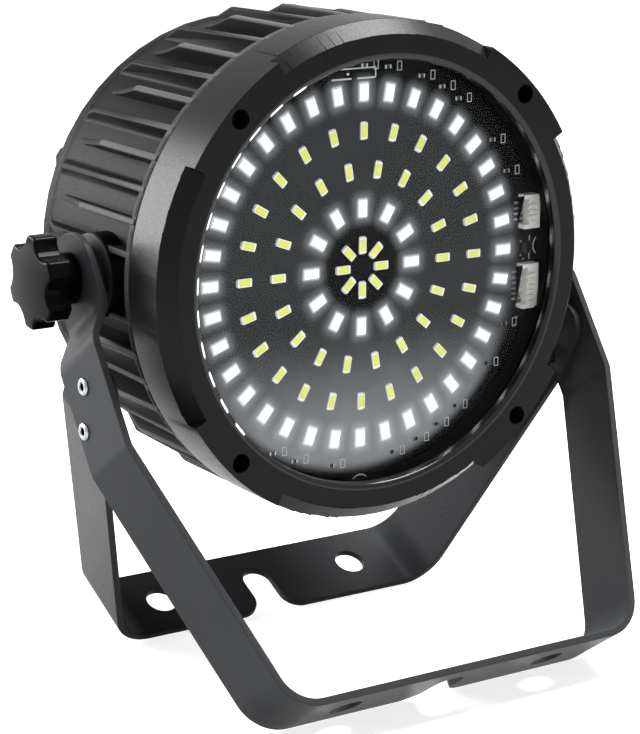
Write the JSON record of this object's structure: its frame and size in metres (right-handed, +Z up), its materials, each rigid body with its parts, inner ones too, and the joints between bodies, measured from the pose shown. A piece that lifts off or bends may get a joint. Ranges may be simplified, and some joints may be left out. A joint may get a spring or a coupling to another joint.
{
  "type": "strobe light",
  "caption": "Round LED strobe head with a finned drum and clear lens, tilting between two clamp knobs in a double steel bracket that stands on the floor or hangs.",
  "frame": {"origin": "floor level, below the middle of the lamp's overall box, resting on the inner edges of the two bracket bars", "axes": "+Z up, the lamp shines towards -Y, +X to the right for someone facing the lamp"},
  "size_m": [0.2308, 0.1746, 0.2397],
  "materials": {
    "housing_plastic": "black moulded plastic, fine satin texture",
    "gloss_plastic": "black moulded plastic, smooth",
    "powder_coated_steel": "black powder coat, fine grain",
    "black_steel": "blackened steel screw",
    "zinc_steel": "zinc-plated steel",
    "aluminium": "plain aluminium",
    "brass": "turned brass",
    "rubber": "black rubber",
    "lens_plastic": "clear polycarbonate",
    "board_mask": "black solder mask",
    "circuit_board": "green solder mask",
    "white_nylon": "white nylon",
    "transformer_tape": "yellow winding tape"
  },
  "bodies": {
    "stand": {"front_bracket": "powder_coated_steel", "rear_bracket": "powder_coated_steel", "rivet_left_upper": "aluminium", "rivet_left_lower": "aluminium", "rivet_right_upper": "aluminium", "rivet_right_lower": "aluminium"},
    "head": {"front_bezel": "housing_plastic", "front_lens": "lens_plastic", "lens_gasket": "rubber", "board_spacer_ring": "housing_plastic", "led_board": "board_mask", "led_connector_upper": "white_nylon", "led_connector_lower": "white_nylon", "led_board_screw_right": "black_steel", "led_board_screw_left": "black_steel", "mounting_plate": "aluminium", "housing": "housing_plastic", "rear_cover": "housing_plastic", "bezel_screw_1": "black_steel", "bezel_screw_2": "black_steel", "bezel_screw_3": "black_steel", "bezel_screw_4": "black_steel", "cover_screw_1": "black_steel", "cover_screw_2": "black_steel", "cover_screw_3": "black_steel", "cover_screw_4": "black_steel", "foot_1": "rubber", "foot_2": "rubber", "foot_3": "rubber", "foot_4": "rubber", "display_window": "lens_plastic", "display_module": "board_mask", "control_board": "circuit_board", "data_inlet": "gloss_plastic", "data_outlet": "gloss_plastic", "power_inlet": "gloss_plastic", "power_outlet": "gloss_plastic", "fuse_holder": "gloss_plastic", "power_supply_board": "circuit_board", "transformer": "transformer_tape", "capacitor": "gloss_plastic", "mains_lead": "rubber", "wiring_loom": "rubber", "pivot_insert_left": "brass", "pivot_insert_right": "brass", "pivot_spacer_left": "rubber", "pivot_spacer_right": "rubber"},
    "left_knob": {"clamp_knob_left": "gloss_plastic", "knob_stud_left": "zinc_steel"},
    "right_knob": {"clamp_knob_right": "gloss_plastic", "knob_stud_right": "zinc_steel"},
    "menu_key": {"menu_button": "rubber"},
    "down_key": {"down_button": "rubber"},
    "up_key": {"up_button": "rubber"},
    "enter_key": {"enter_button": "rubber"},
    "fuse_drawer": {"fuse_cap": "gloss_plastic"}
  },
  "joints": [
    {"name": "head_tilt", "type": "hinge", "parent": "stand", "child": "head", "pos_m": [0, 0.02532, 0.1487], "axis": [1, 0, 0], "range_deg": [-110, 110]},
    {"name": "left_knob_turn", "type": "hinge", "parent": "head", "child": "left_knob", "pos_m": [-0.11, 0.02532, 0.1487], "axis": [-1, 0, 0], "range_deg": [0, 360]},
    {"name": "right_knob_turn", "type": "hinge", "parent": "head", "child": "right_knob", "pos_m": [0.11, 0.02532, 0.1487], "axis": [1, 0, 0], "range_deg": [0, 360]},
    {"name": "menu_press", "type": "slide", "parent": "head", "child": "menu_key", "axis": [0, -1, 0], "range_m": [0, 0.0008], "stiffness_N_per_m": 600},
    {"name": "down_press", "type": "slide", "parent": "head", "child": "down_key", "axis": [0, -1, 0], "range_m": [0, 0.0008], "stiffness_N_per_m": 600},
    {"name": "up_press", "type": "slide", "parent": "head", "child": "up_key", "axis": [0, -1, 0], "range_m": [0, 0.0008], "stiffness_N_per_m": 600},
    {"name": "enter_press", "type": "slide", "parent": "head", "child": "enter_key", "axis": [0, -1, 0], "range_m": [0, 0.0008], "stiffness_N_per_m": 600},
    {"name": "fuse_cap_turn", "type": "hinge", "parent": "head", "child": "fuse_drawer", "pos_m": [0, 0.0868, 0.0867], "axis": [0, 1, 0], "range_deg": [0, 60]}
  ]
}
